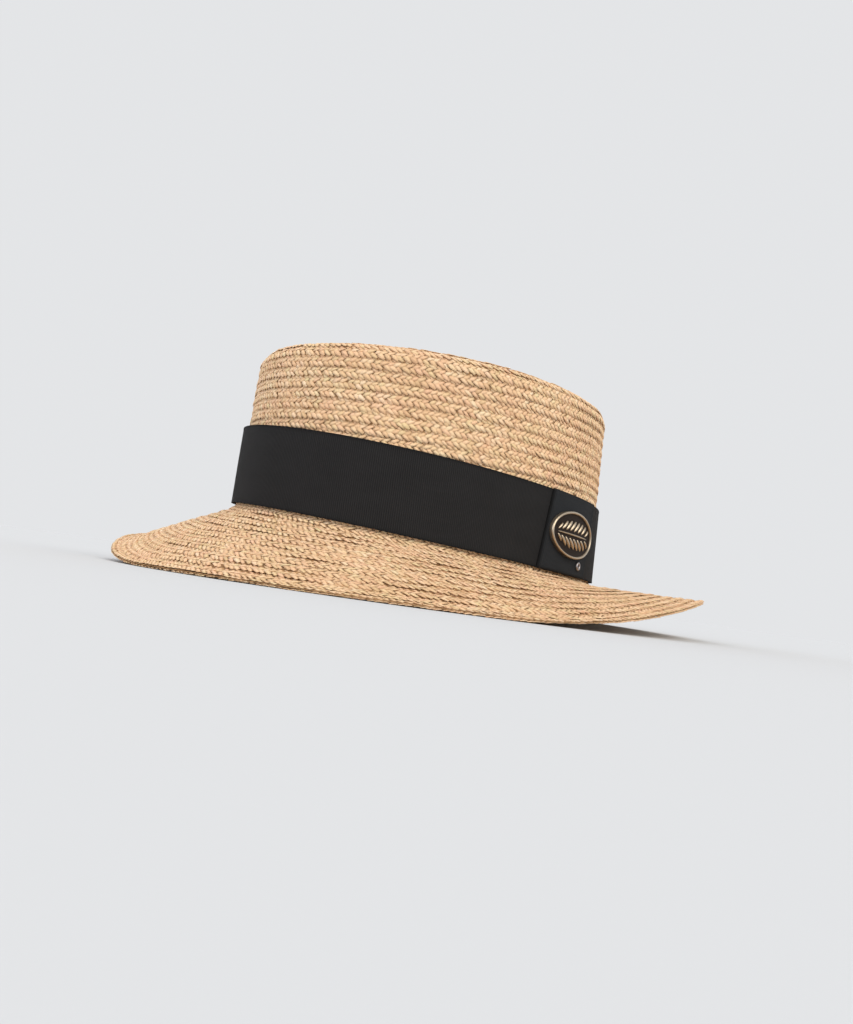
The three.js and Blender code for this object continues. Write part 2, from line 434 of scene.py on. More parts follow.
@dataclass
class Skin:
    """A mesh being made: points in millimetres, faces as arrays of corners, a number or vector for
    each point under each attribute's name, and how many of the first faces are shaded flat."""

    points: Array
    faces: list[Array]
    attributes: dict[str, Array]
    bake_map: Array | None = None
    flat: int = 0

    def joined(self, other: "Skin") -> "Skin":
        """This mesh and another with the same attributes as one.

        Args:
            other: The mesh whose points and faces come after this one's.

        Returns:
            Both together, without a bake map.
        """
        moved = [face + len(self.points) for face in other.faces]
        pairs = {
            key: np.concatenate([values, other.attributes[key]]) for key, values in self.attributes.items()
        }
        return Skin(np.concatenate([self.points, other.points]), self.faces + moved, pairs)

    def write(self, name: str, form: HatForm, material: Material, node: str, slot: str) -> bpy.types.Object:
        """Makes a piece of the hat, at the origin with its place in its mesh.

        Args:
            name: The piece's name.
            form: The form that places it in the frame.
            material: Its finish.
            node: The frame's node that it stands for.
            slot: Not used.

        Returns:
            The piece, which rides on the hat.
        """
        mesh = bpy.data.meshes.new(name)
        corners = np.concatenate([face.ravel() for face in self.faces]).astype(np.int32)
        sizes = np.concatenate([np.full(len(face), face.shape[1]) for face in self.faces])
        mesh.vertices.add(len(self.points))
        mesh.vertices.foreach_set("co", form.placed(self.points).astype(np.float32).ravel())
        mesh.loops.add(len(corners))
        mesh.loops.foreach_set("vertex_index", corners)
        mesh.polygons.add(len(sizes))
        mesh.polygons.foreach_set("loop_start", (np.cumsum(sizes) - sizes).astype(np.int32))
        mesh.polygons.foreach_set("use_smooth", np.arange(len(sizes)) >= self.flat)
        mesh.update(calc_edges=True)
        for key, values in self.attributes.items():
            kind, field = ("FLOAT", "value") if values.ndim == 1 else ("FLOAT_VECTOR", "vector")
            layer = mesh.attributes.new(key, kind, "POINT")
            layer.data.foreach_set(field, values.astype(np.float32).ravel())
        if self.bake_map is not None:
            layer = mesh.uv_layers.new(name="OFBake", do_init=False)
            layer.data.foreach_set("uv", self.bake_map[corners].astype(np.float32).ravel())
        mesh.materials.append(material)
        piece = in_scene(name, mesh)
        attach(piece, "root")
        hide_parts(node)
        log.info("%s: %d points, %d triangles", name, len(self.points), int((sizes - 2).sum()))
        return piece


def grid_faces(lengthways: int, across: int, closed: tuple[bool, bool]) -> Array:
    """Four-cornered faces of a grid of points whose second count runs fastest.

    Args:
        lengthways: Points in the first direction.
        across: Points in the second direction.
        closed: Whether each direction joins its last points to its first.

    Returns:
        Faces, each as its corners in order.
    """
    i = np.arange(lengthways if closed[0] else lengthways - 1)[:, None]
    j = np.arange(across if closed[1] else across - 1)[None, :]
    i_next, j_next = (i + 1) % lengthways, (j + 1) % across
    corners = (i * across + j, i_next * across + j, i_next * across + j_next, i * across + j_next)
    return np.stack(np.broadcast_arrays(*corners), axis=-1).reshape(-1, 4)


def capped(rings: int, facets: int) -> list[Array]:
    """Faces of a shape of rings skinned one to the next, with the first and the last ring closed."""
    ring = np.arange(facets)[None, :]
    return [grid_faces(rings, facets, (False, True)), ring, (rings - 1) * facets + ring[:, ::-1]]


def repeated(faces: list[Array], size: int, count: int) -> list[Array]:
    """The faces of one shape of `size` points for each of a count of such shapes."""
    first = size * np.arange(count)[:, None, None]
    return [(first + face[None]).reshape(-1, face.shape[1]) for face in faces]


def cloth(front: Array, back: Array, closed: bool, along: Array, up: Array) -> Skin:
    """Joins a front and a back grid into one closed sheet of cloth, its edges skinned over.

    Args:
        front: Points by station around, then across.
        back: The same for the back.
        closed: Whether the sheet runs all the way round the hat.
        along: The way along the cloth at each point, in millimetres.
        up: The way up it.

    Returns:
        The sheet. Its attribute `weave` holds those ways and how near the middle a point is.
    """
    count, across = front.shape[:2]
    faces = [grid_faces(count, 2 * across, (closed, True))]
    if not closed:
        end = np.arange(2 * across)
        faces += [end[None, :], (end[::-1] + (count - 1) * 2 * across)[None, :]]
    nearness = np.clip((1 - np.abs(2 * eased(across) - 1)) * SELVEDGES, 0, 1)
    weave = np.stack(np.broadcast_arrays(along, up, nearness), axis=-1)
    points, weave = (
        np.concatenate([near, far[:, ::-1]], axis=1).reshape(-1, 3)
        for near, far in ((front, back), (weave, weave))
    )
    return Skin(points, faces, {"weave": weave})


# ---- Straw ----


@dataclass(frozen=True)
class Run:
    """One turn of braid: the row its middle starts at and how many rows it moves out in the turn."""

    start: float
    climb: float

    def row(self, turn: Array) -> Array:
        """Row of the braid's middle at each turn."""
        return self.start + self.climb * turn / FULL_TURN


@dataclass(frozen=True)
class Bed:
    """What braid is laid on: a side of a wall, and what turn and row decide there."""

    wall: StrawWall
    swell: Callable[[Array, Array], Array]  # how much higher a strand stands
    kept: Callable[[Array, Array], Array] = lambda turn, row: row > -np.inf  # whether a lobe is wanted
    last_row: Callable[[Array], Array] = lambda turn: turn + np.inf  # row past which no strand goes


@dataclass(frozen=True)
class Plait:
    """A flat plait, whose strands show on each side as columns of slanting lobes. A place on a lobe is
    a share `u` of its length and a share `w` of its half width."""

    step: float = 2.8  # along the braid from one lobe to the next
    slant: float = 3.6  # how far a lobe runs along the braid
    columns: tuple[Triple, ...] = ((0.12, 0.62, 1), (0.2, -0.26, 1), (-0.18, -0.64, -1))
    # where a column's lobes start and end, in rows from the row's middle, and which way they run
    lengthways: tuple[float, ...] = (0.0, 0.4, 1.0)  # a lobe's points, as shares u
    across: tuple[float, ...] = (-1.0, 0.0, 1.0)  # the same, as shares w
    half_width: float = 0.92
    narrowing: float = 0.12  # how much narrower a lobe's ends are, as a share
    crest: float = 0.82  # height of a lobe's back off the middle of the wall
    dome: float = 0.17  # how far a lobe's sides fall away
    tuck: float = 0.38  # how deep a lobe's start goes under its neighbour
    tucked: float = 0.4  # share of its length that comes up from there
    fold: float = 0.3  # how far its end bends down
    folded: float = 0.25  # share of its length that bends down
    tilt: float = 0.34  # how far each row's edge lies over the next row
    arch: float = 0.1  # how far both edges fall away
    ease: float = 0.11  # how unevenly the lobes lie, as a share of their sizes
    bends: int = 44  # in a turn, where the sewing has let the row wander
    furthest: float = 1.5  # that any bend goes, in standard deviations
    wander: float = 0.055  # how far the row wanders, in rows
    unrest: float = 0.5  # how unevenly it is tilted, as a share of the tilt
    clear_of_ground: float = 0.03  # lowest that any strand lies, where the hat rests
    strands: int = 4  # that follow each other in a column
    tone_run: float = 9.0  # lobes along which a strand keeps its tone
    tone_mix: Triple = (0.5, 0.13, 0.08)  # mean, and spread from strand to strand and lobe to lobe
    hue_mix: Triple = (0.0, 0.3, 0.16)
    # painted shade darkens a lobe at its sides, at its tucked start and along the seam where a row goes under
    # the one before
    painted_shades: Triple = (0.3, 0.45, 0.42)  # of a lobe's sides, its start and the seam
    seam: float = -0.12  # in rows from the row's middle, where the shade of the seam starts
    seam_width: float = 0.25
    scatter: tuple[float, float] = (40.0, 10.0)  # how far apart two lobes may lie in the finish's noise
    map_inside: float = 0.24  # inner radius of the bake map of rows that start away from the middle
    map_outside: float = 0.49

    def lay(self, bed: Bed, runs: Sequence[Run], rng: np.random.Generator) -> Skin:
        """Lays lobes along turns of braid.

        Args:
            bed: What they are laid on.
            runs: The turns of braid.
            rng: Source of the unevenness.

        Returns:
            The lobes as closed shapes, with the attributes `strand` and `fibre`.
        """
        bends = rng.normal(0, 1, (2, len(runs) * self.bends + 1)).clip(-self.furthest, self.furthest)
        laid = []
        for number, run in enumerate(runs):
            own = bends[:, number * self.bends : (number + 1) * self.bends + 1].copy()
            if run.climb == 0:
                own[:, -1] = own[:, 0]
            laid.append(self.lay_turn(bed, run, own, rng))
        points, strand, fibre, places = (np.concatenate(parts) for parts in zip(*laid))
        from_middle = runs[0].climb > 0 and runs[0].start < 1
        bake_map = self.unrolled(places, 0.0 if from_middle else self.map_inside)
        *under, back = self.faces(len(points), bed.wall.side)
        flat = sum(len(faces) for faces in under)
        return Skin(points, [*under, back], {"strand": strand, "fibre": fibre}, bake_map, flat)

    def lay_turn(
        self, bed: Bed, run: Run, bends: Array, rng: np.random.Generator
    ) -> tuple[Array, Array, Array, Array]:
        """Lays the lobes of one turn. A lobe's middle line runs evenly from its start to its end while
        it moves along the braid by the slant, and its points lie to both sides of that line.

        Its height is the crest, plus the tilt and less the arch across the row, less the tuck and the
        fold at its two ends and less the dome at its sides.

        Args:
            bed: What they are laid on.
            run: The turn of braid.
            bends: How far it wanders and how unevenly it is tilted, at each of its bends.
            rng: Source of the unevenness.

        Returns:
            For each point its place, its two attributes, and its turn and row.
        """
        wall, dense = bed.wall, bed.wall.turns(finer=2)
        line = wall.at(dense, np.maximum(run.row(dense), 0))
        way = np.concatenate([[0.0], np.cumsum(np.linalg.norm(np.diff(line, axis=0), axis=1))])
        count = max(round(way[-1] / self.step), self.strands)
        column = np.repeat(np.arange(len(self.columns)), count)
        index = np.tile(np.arange(count), len(self.columns))
        uneven = rng.normal(0, self.ease, (4, len(index)))
        tone, hue = self.tones(index, column, count, rng)
        middle = (index + column / 2 + uneven[0]) * (way[-1] / count)
        turn = np.interp(middle % way[-1], way, dense)
        start, end, sense = np.array(self.columns)[column].T
        lobes = np.stack(
            [middle, wall.pitch_at(turn), tone, hue, rng.random(len(index)), start, end, sense, *uneven[1:]]
        )
        lobes = lobes[:, bed.kept(turn, run.row(turn) + (start + end) / 2)][:, :, None, None]
        middle, pitch, tone, hue, seed, start, end, sense, longer, wider, higher = lobes

        u = np.array(self.lengthways)[None, :, None]
        w = np.array(self.across)[None, None, :]
        reach = end - start
        slant = self.slant * (1 + longer) * sense
        size = np.hypot(slant, reach * pitch)
        half = self.half_width * (1 + wider) * (1 - self.narrowing * np.abs(2 * u - 1) ** 3)
        along = middle + slant * (u - 0.5) - w * half * reach * pitch / size
        t = start + reach * u + w * half * slant / size / pitch
        turn = np.interp(along % way[-1], way, dense) + FULL_TURN * np.floor(along / way[-1])
        corners = np.linspace(0, FULL_TURN, self.bends + 1)
        aside, askew = (np.interp(turn, corners, line) for line in bends)
        row = np.minimum(run.row(turn) + t + self.wander * aside, bed.last_row(turn))

        from_start = np.clip(1 - u / self.tucked, 0, 1)
        ends_down = self.tuck * from_start + self.fold * np.clip((u - 1) / self.folded + 1, 0, 1)
        tilt = self.tilt * (1 + self.unrest * askew)
        height = self.crest * (1 + higher) + 2 * tilt * t - self.arch * (2 * t) ** 2
        height = height - ends_down - self.dome * np.abs(w) ** 2.5 + bed.swell(turn, row)
        points = wall.at(turn, row, height)
        points[..., 2] = np.maximum(points[..., 2], self.clear_of_ground)

        # painted shade: the share of each point left unshaded, lower at a lobe's sides, at its start and
        # along the seam
        at_sides, at_start, at_seam = self.painted_shades
        unshaded = (1 - at_sides * w**4) * (1 - at_start * from_start)
        unshaded = unshaded * (1 - at_seam * np.clip((self.seam - t) / self.seam_width, 0, 1))
        strand = np.stack(np.broadcast_arrays(tone, hue, unshaded), axis=-1)
        ahead, away = self.scatter
        fibre = np.stack(np.broadcast_arrays(u * size + ahead * seed, w * half, away * seed), axis=-1)
        places = np.stack([turn, row], axis=-1)
        return tuple(part.reshape(-1, part.shape[-1]) for part in (points, strand, fibre, places))

    def tones(
        self, index: Array, column: Array, count: int, rng: np.random.Generator
    ) -> tuple[Array, Array]:
        """Lightness and hue of each lobe. Each strand has tones of its own, which change evenly from
        one stretch of lobes to the next, with a little added for each lobe.

        Args:
            index: Number of each lobe in its column.
            column: Which column it is in.
            count: Lobes in a column.
            rng: Source of the tones.

        Returns:
            Lightness from 0 to 1, and hue from -1, greenish, to 1, pinkish.
        """
        stretch = index / self.tone_run
        first, part = stretch.astype(int), stretch % 1
        which = (index % self.strands) + self.strands * column
        knots = rng.normal(0, 1, (2, len(self.columns) * self.strands, int(count / self.tone_run) + 3))
        slow = knots[:, which, first] * (1 - part) + knots[:, which, first + 1] * part
        quick = rng.normal(0, 1, (2, len(index)))
        tone, hue = (
            mean + by_strand * slow[kind] + by_lobe * quick[kind]
            for kind, (mean, by_strand, by_lobe) in enumerate((self.tone_mix, self.hue_mix))
        )
        return np.clip(tone, 0, 1), np.clip(hue, -1, 1)

    def faces(self, point_count: int, side: Side) -> list[Array]:
        """Undersides of the lobes, each a face between the corners and one at every side, and their
        backs, turned to point off the wall.

        Args:
            point_count: Points of all the lobes.
            side: The side of the wall that they lie on.

        Returns:
            Faces between the corners, faces at the sides and faces of the backs.
        """
        counts = (len(self.lengthways), len(self.across))
        grid = np.arange(math.prod(counts)).reshape(counts)
        corners = np.array([[grid[0, 0], grid[0, -1], grid[-1, -1], grid[-1, 0]]])
        sides = np.array([grid[0], grid[:, -1], grid[-1, ::-1], grid[::-1, 0]])
        faces = [corners, sides, grid_faces(*counts, (False, False))]
        if side is Side.FACE:
            faces = [face[:, ::-1] for face in faces]
        return repeated(faces, grid.size, point_count // grid.size)

    def unrolled(self, places: Array, inside: float) -> Array:
        """Bake map: the turns laid round a ring from its inner radius, rows spread outwards.

        Args:
            places: Turn and row of each point.
            inside: Inner radius, 0 for a disc.

        Returns:
            Two map coordinates for each point, from 0 to 1.
        """
        turn, row = places.T
        radius = inside + (self.map_outside - inside) * (row - row.min()) / (row.max() - row.min())
        return 0.5 + radius[:, None] * np.stack([np.cos(turn), np.sin(turn)], axis=-1)


# ---- Materials ----


class Value:
    """A number inside a material. Arithmetic on it adds Math nodes."""

    def __init__(self, shader: "Shader", socket: Socket) -> None:
        """Holds the socket that gives the number."""
        self.shader = shader
        self.socket = socket

    def __add__(self, other: "Value | float") -> "Value":
        """Sum."""
        return self.shader.math("ADD", self, other)

    __radd__ = __add__

    def __mul__(self, other: "Value | float") -> "Value":
        """Product."""
        return self.shader.math("MULTIPLY", self, other)

    def __sub__(self, other: "Value | float") -> "Value":
        """Difference."""
        return self.shader.math("SUBTRACT", self, other)

    def __rsub__(self, other: float) -> "Value":
        """Difference from a plain number."""
        return self.shader.math("SUBTRACT", other, self)

    def __pow__(self, other: float) -> "Value":
        """Power."""
        return self.shader.math("POWER", self, other)

    def clamped(self) -> "Value":
        """The number held between 0 and 1."""
        return self.shader.math("ADD", self, 0.0, clamp=True)


Feed = Value | Socket | float | tuple[float, ...]


class Shader:
    """One material's node tree, built from expressions."""

    def __init__(self, name: str) -> None:
        """Starts an empty tree."""
        self.material = bpy.data.materials.new(name)
        self.material.use_nodes = True
        self.tree = self.material.node_tree
        self.tree.nodes.clear()

    def node(
        self, kind: str, settings: Mapping[str, object] | None = None, feeds: Mapping[str, Feed] | None = None
    ) -> bpy.types.Node:
        """Adds a node.

        Args:
            kind: Its type.
            settings: Its properties.
            feeds: A link or a constant for each socket, by the socket's identifier or name.

        Returns:
            The node.
        """
        made = self.tree.nodes.new(kind)
        for key, setting in (settings or {}).items():
            setattr(made, key, setting)
        for key, feed in (feeds or {}).items():
            named = [s for s in made.inputs if s.identifier == key]
            socket = named[0] if named else made.inputs[key]
            source = feed.socket if isinstance(feed, Value) else feed
            if isinstance(source, Socket):
                self.tree.links.new(source, socket)
            else:
                socket.default_value = source
        return made

    def math(self, operation: str, first: Feed, second: Feed = 0.0, clamp: bool = False) -> Value:
        """A Math node's result."""
        settings = {"operation": operation, "use_clamp": clamp}
        made = self.node("ShaderNodeMath", settings, {"Value": first, "Value_001": second})
        return Value(self, made.outputs[0])

    def mix(self, share: Feed, first: Feed, second: Feed) -> Socket:
        """A blend of two colours, each a socket or three numbers."""
        first, second = ((*c, 1.0) if isinstance(c, tuple) else c for c in (first, second))
        feeds = {"Factor_Float": share, "A_Color": first, "B_Color": second}
        made = self.node("ShaderNodeMix", {"data_type": "RGBA"}, feeds)
        return next(s for s in made.outputs if s.identifier == "Result_Color")

    def ramp(self, share: Feed, stops: Sequence[tuple[float, Colour]]) -> Socket:
        """A colour picked by a number from stops, each a position and a colour."""
        made = self.node("ShaderNodeValToRGB", {}, {"Fac": share})
        elements = made.color_ramp.elements
        while len(elements) < len(stops):
            elements.new(1.0)
        for element, (position, colour) in zip(elements, stops):
            element.position, element.color = position, (*colour, 1.0)
        return made.outputs["Color"]

    def attribute(self, name: str, output: str = "Vector") -> Socket:
        """An attribute of the mesh, as a vector or, from the output "Fac", a number."""
        return self.node("ShaderNodeAttribute", {"attribute_name": name}).outputs[output]

    def parts(self, vector: Feed) -> tuple[Value, Value, Value]:
        """The three numbers of a vector."""
        made = self.node("ShaderNodeSeparateXYZ", {}, {"Vector": vector})
        return tuple(Value(self, s) for s in made.outputs)

    def noise(self, scale: float | Triple, over: Feed | None = None, detail: float = 3.0) -> Value:
        """Noise from 0 to 1, over the hat in metres or over a vector whose parts are scaled."""
        if over is None:
            over = self.node("ShaderNodeTexCoord").outputs["Object"]
        else:
            feeds = {"Vector": over, "Vector_001": scale}
            over = self.node("ShaderNodeVectorMath", {"operation": "MULTIPLY"}, feeds).outputs[0]
            scale = 1.0
        feeds = {"Vector": over, "Scale": scale, "Detail": detail}
        return Value(self, self.node("ShaderNodeTexNoise", {}, feeds).outputs["Fac"])

    def bump(self, height: Value, distance: float) -> Socket:
        """A normal bent by a height from 0 to 1 that stands for a distance in millimetres."""
        return self.node("ShaderNodeBump", {}, {"Height": height, "Distance": distance * MM}).outputs[0]

    def finished(self, **feeds: Feed) -> Material:
        """Closes the tree with a Principled surface.

        Args:
            feeds: Its sockets' links and constants, with _ for the spaces in their names.

        Returns:
            The material.
        """
        named = {key.replace("_", " "): feed for key, feed in feeds.items()}
        surface = self.node("ShaderNodeBsdfPrincipled", {}, named)
        self.node("ShaderNodeOutputMaterial", {}, {"Surface": surface.outputs[0]})
        return self.material


@dataclass(frozen=True)
class StrawFinish:
    """Raffia strands: tan, each of its own tone, streaked lengthways, and darkened by painted shade where
    they go under.
    """

    name: str
    deep: Colour = (0.605, 0.37, 0.205)
    middle: Colour = (0.80, 0.54, 0.32)
    pale: Colour = (0.90, 0.715, 0.50)
    pinkish: Colour = (0.82, 0.51, 0.335)
    greenish: Colour = (0.74, 0.60, 0.33)
    # colour of the painted shade where strands go under and at their sides
    shadow: Colour = (0.44, 0.25, 0.12)
    streak: Triple = (0.35, 5.0, 1.0)  # noise to a millimetre along and across a strand
    hair: Triple = (0.8, 16.0, 1.0)
    mottle: float = 38.0  # noise to a metre of the hat
    patch: float = 105.0

    def material(self) -> Material:
        """Builds the finish from the attributes `strand` and `fibre`."""
        shader = Shader(self.name)
        tone, hue, unshaded = shader.parts(shader.attribute("strand"))
        fibre = shader.attribute("fibre")
        streaks = shader.noise(self.streak, fibre)
        hairs = shader.noise(self.hair, fibre, detail=2.0)
        mottle = shader.noise(self.mottle)
        hue = hue + (shader.noise(self.patch, detail=2.0) - 0.5) * 1.3
        lightness = tone + (streaks - 0.5) * 0.7 + (mottle - 0.5) * 0.6
        colour = shader.ramp(lightness, [(0.05, self.deep), (0.5, self.middle), (0.95, self.pale)])
        for share, tint in ((0.8, self.pinkish), (-0.8, self.greenish)):
            colour = shader.mix((hue * share).clamped(), colour, tint)
        # painted shade, mixed in where strands go under and at their sides
        painted_shade_share = ((1 - unshaded) ** 1.5 * 0.55).clamped()
        colour = shader.mix(painted_shade_share, colour, self.shadow)
        colour = shader.mix((hairs - 0.45).clamped() * 0.5, colour, self.deep)
        return shader.finished(
            Base_Color=colour,
            Roughness=0.52 + streaks * 0.3,
            Normal=shader.bump(streaks + hairs * 0.5, 0.16),
            Specular_IOR_Level=0.35,
        )


@dataclass(frozen=True)
class GroundFinish:
    """What shows between the strands: the backs of strands beneath, painted dark as their shade."""

    name: str = "straw_ground_painted_shade"
    # both colours are far darker than the strands: painted shade between them
    dark: Colour = (0.27, 0.15, 0.07)
    light: Colour = (0.50, 0.30, 0.15)
    grain: float = 700.0  # noise to a metre

    def material(self) -> Material:
        """Builds the finish from noise in place."""
        shader = Shader(self.name)
        grain = shader.noise(self.grain)
        colour = shader.ramp(grain, [(0.35, self.dark), (0.7, self.light)])
        return shader.finished(
            Base_Color=colour,
            Roughness=0.8 + grain * 0.15,
            Normal=shader.bump(grain, 0.2),
            Specular_IOR_Level=0.1,
        )


@dataclass(frozen=True)
class RibbonFinish:
    """Grosgrain: matt near-black cloth with fine ribs across it and smoother edges, darker partly as a
    selvedge is and partly from painted shade.
    """

    name: str
    thread: Colour = (0.0085, 0.0083, 0.0086)
    light_thread: Colour = (0.0285, 0.028, 0.0292)
    # colour of the edges: partly the selvedge's own, partly painted shade
    edge: Colour = (0.006, 0.006, 0.0063)
    rib: float = 0.85  # from one rib to the next
    waver: Triple = (0.3, 0.15, 0.0)  # noise to a millimetre along and up the ribbon
    fleck: Triple = (2.2, 9.0, 0.0)
    cloud: Triple = (0.05, 0.12, 0.0)

    def material(self) -> Material:
        """Builds the finish from the attribute `weave`."""
        shader = Shader(self.name)
        weave = shader.attribute("weave")
        along, _, inside = shader.parts(weave)
        waver = shader.noise(self.waver, weave)
        ribs = shader.math("SINE", (along + waver * 0.5) * (FULL_TURN / self.rib)) * 0.5 + 0.5
        threads = shader.noise(self.fleck, weave)
        cloud = shader.noise(self.cloud, weave)
        light = (ribs * 0.5 + threads * 0.5 + cloud * 0.35 - 0.27).clamped()
        colour = shader.mix(light, self.thread, self.light_thread)
        # darker towards the edges: partly the selvedge's own colour, partly painted shade
        colour = shader.mix(inside, self.edge, colour)
        height = ribs * (inside * 0.7 + 0.3) + threads * 0.3
        return shader.finished(
            Base_Color=colour,
            Roughness=0.8 + threads * 0.15,
            Normal=shader.bump(height, 0.2),
            Specular_IOR_Level=0.14,
        )


@dataclass(frozen=True)
class MetalFinish:
    """Cast metal, rubbed bright on what stands up and dark in what lies deep."""

    name: str
    bright: Colour = (0.50, 0.41, 0.305)
    dark: Colour = (0.016, 0.010, 0.007)
    cloud: float = 420.0  # noise to a metre
    grain: float = 2600.0

    def material(self) -> Material:
        """Builds the finish from the attribute `gilt`."""
        shader = Shader(self.name)
        gilt = Value(shader, shader.attribute("gilt", "Fac"))
        cloud = shader.noise(self.cloud)
        grain = shader.noise(self.grain, detail=2.0)
        rubbed = (gilt * 1.15 - (cloud - 0.45).clamped() * 0.9).clamped()
        colour = shader.mix(rubbed, self.dark, self.bright)
        return shader.finished(
            Base_Color=colour,
            Metallic=rubbed * 0.9 + 0.1,
            Roughness=0.6 - rubbed * 0.37 + grain * 0.12,
            Normal=shader.bump(grain + cloud, 0.03),
            Specular_IOR_Level=0.15,
        )


# ---- Sub-assemblies ----


@dataclass(frozen=True)
class StrawGround:
    """The thin shell of straw that the strands are laid on, half its thickness on each side."""

    half: float = 0.2
    around: int = 180
    hole: float = 0.12  # row at which the crown's shell starts
    down: int = 52  # stations on each side of the crown
    outwards: int = 40  # the same on the brim, before the turn round its edge
    bend: tuple[float, ...] = (0.09, 0.195, 0.3)  # rows past the edge, round which the sides meet

    def both_sides(self, face: StrawWall, back: StrawWall, row: Array, lift: float, ring: bool) -> Skin:
        """Skins the shell from the face's first row, over its last, to the back's first.

        Args:
            face: Chart of the face.
            back: Chart of the back.
            row: Rows of the stations at each turn.
            lift: How far the back lies off its chart.
            ring: Whether the first rows are skinned to each other as well.

        Returns:
            The shell, open at its first rows unless they are a ring.
        """
        turn = circle(self.around)[:, None] + 0 * row
        sides = [face.at(turn, row, self.half), back.at(turn, row, lift)]
        grid = np.concatenate([sides[0], sides[1][:, ::-1]], axis=1)
        faces = grid_faces(self.around, grid.shape[1], (True, ring))[:, ::-1]
        return Skin(grid.reshape(-1, 3), [faces], {})

    def crown(self, shape: CrownShape) -> Skin:
        """The crown from a narrow ring in the middle of the tip down to the foot, with a level face over
        the ring on each side.

        Args:
            shape: The crown.

        Returns:
            The shell.
        """
        foot = shape.foot_row(circle(self.around)[:, None])
        row = self.hole + (foot - self.hole) * np.linspace(0, 1, self.down)[None, :]
        wall = shape.wall(Side.FACE)
        shell = self.both_sides(wall, wall, row, -self.half, ring=False)
        first = np.arange(self.around)[None, :] * 2 * self.down
        shell.faces += [first, (first + 2 * self.down - 1)[:, ::-1]]
        return shell

    def brim(self, shape: BrimShape) -> Skin:
        """The brim from the collar's top to the edge.

        Args:
            shape: The brim.

        Returns:
            The shell.
        """
        rows = np.concatenate([np.linspace(0, shape.rows, self.outwards), shape.rows + np.array(self.bend)])
        row = rows[None, :] + np.zeros((self.around, 1))
        return self.both_sides(shape.wall(Side.FACE), shape.wall(Side.BACK), row, self.half, ring=True)


@dataclass(frozen=True)
class Crown:
    """The crown's straw: strands outside, down to the ribbon, and inside, down to the foot."""

    shape: CrownShape
    plait: Plait
    ground: StrawGround
    corner_row: int = 17  # turn of braid with which the wall's strands start
    innermost: tuple[tuple[float, float], ...] = ((1.0, -0.12), (1.02, 0.1), (1.45, 0.1), (1.47, -0.3))
    # rows past which the strands start, by half turns
    knob: float = 0.45  # how much higher the strands stand where the braid starts
    knob_rows: float = 0.5  # reach of that
    under_ribbon: float = 4.0  # how far the strands go on below the ribbon's top edge
    over_foot: float = 0.25  # rows between the last strands inside and the foot
    seed: int = 20

    def build(self, straw: Material, ground: Material) -> None:
        """Makes the crown's pieces.

        Args:
            straw: Finish of the strands.
            ground: Finish of what lies between them.
        """
        shape = self.shape
        runs = [Run(float(turn), 1.0) for turn in range(-1, shape.rows)]
        tip, down = runs[: self.corner_row + 1], runs[self.corner_row + 1 :]
        self.ground.crown(shape).write("crown_ground", shape.form, ground, "crown", "raffia")
        parts = (
            ("crown_tip", Side.FACE, tip, self.off_the_middle),
            ("crown_wall", Side.FACE, down, self.clear_of_ribbon),
            ("crown_tip_inside", Side.BACK, tip, self.off_the_middle),
            ("crown_wall_inside", Side.BACK, down, self.above_foot),
        )
        for number, (name, side, some_runs, kept) in enumerate(parts):
            bed = Bed(shape.wall(side), self.started, kept, shape.foot_row)
            strands = self.plait.lay(bed, some_runs, np.random.default_rng(self.seed + number))
            strands.write(name, shape.form, straw, "crown", "raffia")

    def started(self, turn: Array, row: Array) -> Array:
        """Height of the closed start of the spiral: a bell shape around the middle row."""
        return self.knob * np.exp(-((row / self.knob_rows) ** 2))

    def off_the_middle(self, turn: Array, row: Array) -> Array:
        """Whether a lobe lies outside the closed middle of the spiral."""
        half_turns, rows = zip(*self.innermost)
        return row > np.interp(turn / math.pi, half_turns, rows)

    def above_foot(self, turn: Array, row: Array) -> Array:
        """Whether a lobe lies on the wall."""
        return row < self.shape.foot_row(turn) - self.over_foot

    def clear_of_ribbon(self, turn: Array, row: Array) -> Array:
        """Whether a lobe lies above the ribbon or just under its top edge."""
        form = self.shape.form
        down = row * self.shape.pitch - self.shape.wall_start
        above = form.top - form.corner_radius - down - form.root(self.shape.direction(turn))
        return above > form.ribbon_top - self.under_ribbon


@dataclass(frozen=True)
class Brim:
    """The brim's straw, above and below, with the braid's tucked end at its edge."""

    shape: BrimShape
    plait: Plait
    ground: StrawGround
    end_at: float = math.radians(87)  # where the braid's end is tucked in
    end_reach: float = math.radians(2.6)
    end_row: float = -0.3  # from the edge
    end_rows: float = 0.7  # its reach
    end_height: float = 0.8
    seed: int = 40

    def build(self, straw: Material, ground: Material) -> None:
        """Makes the brim's pieces.

        Args:
            straw: Finish of the strands.
            ground: Finish of what lies between them.
        """
        shape = self.shape
        runs = [Run(row + 0.5, 0.0) for row in range(shape.rows)]
        self.ground.brim(shape).write("brim_ground", shape.form, ground, "brim", "raffia")
        for number, (name, side) in enumerate((("brim_upper", Side.FACE), ("brim_under", Side.BACK))):
            bed = Bed(shape.wall(side), self.tucked_end)
            strands = self.plait.lay(bed, runs, np.random.default_rng(self.seed + number))
            strands.write(name, shape.form, straw, "brim", "raffia")

    def tucked_end(self, turn: Array, row: Array) -> Array:
        """Height of the knob where the braid ends: a bell shape around its place at the edge."""
        across = (row - self.shape.rows - self.end_row) / self.end_rows
        around = past(turn, self.end_at) / self.end_reach
        return self.end_height * np.exp(-(across**2) - around**2)


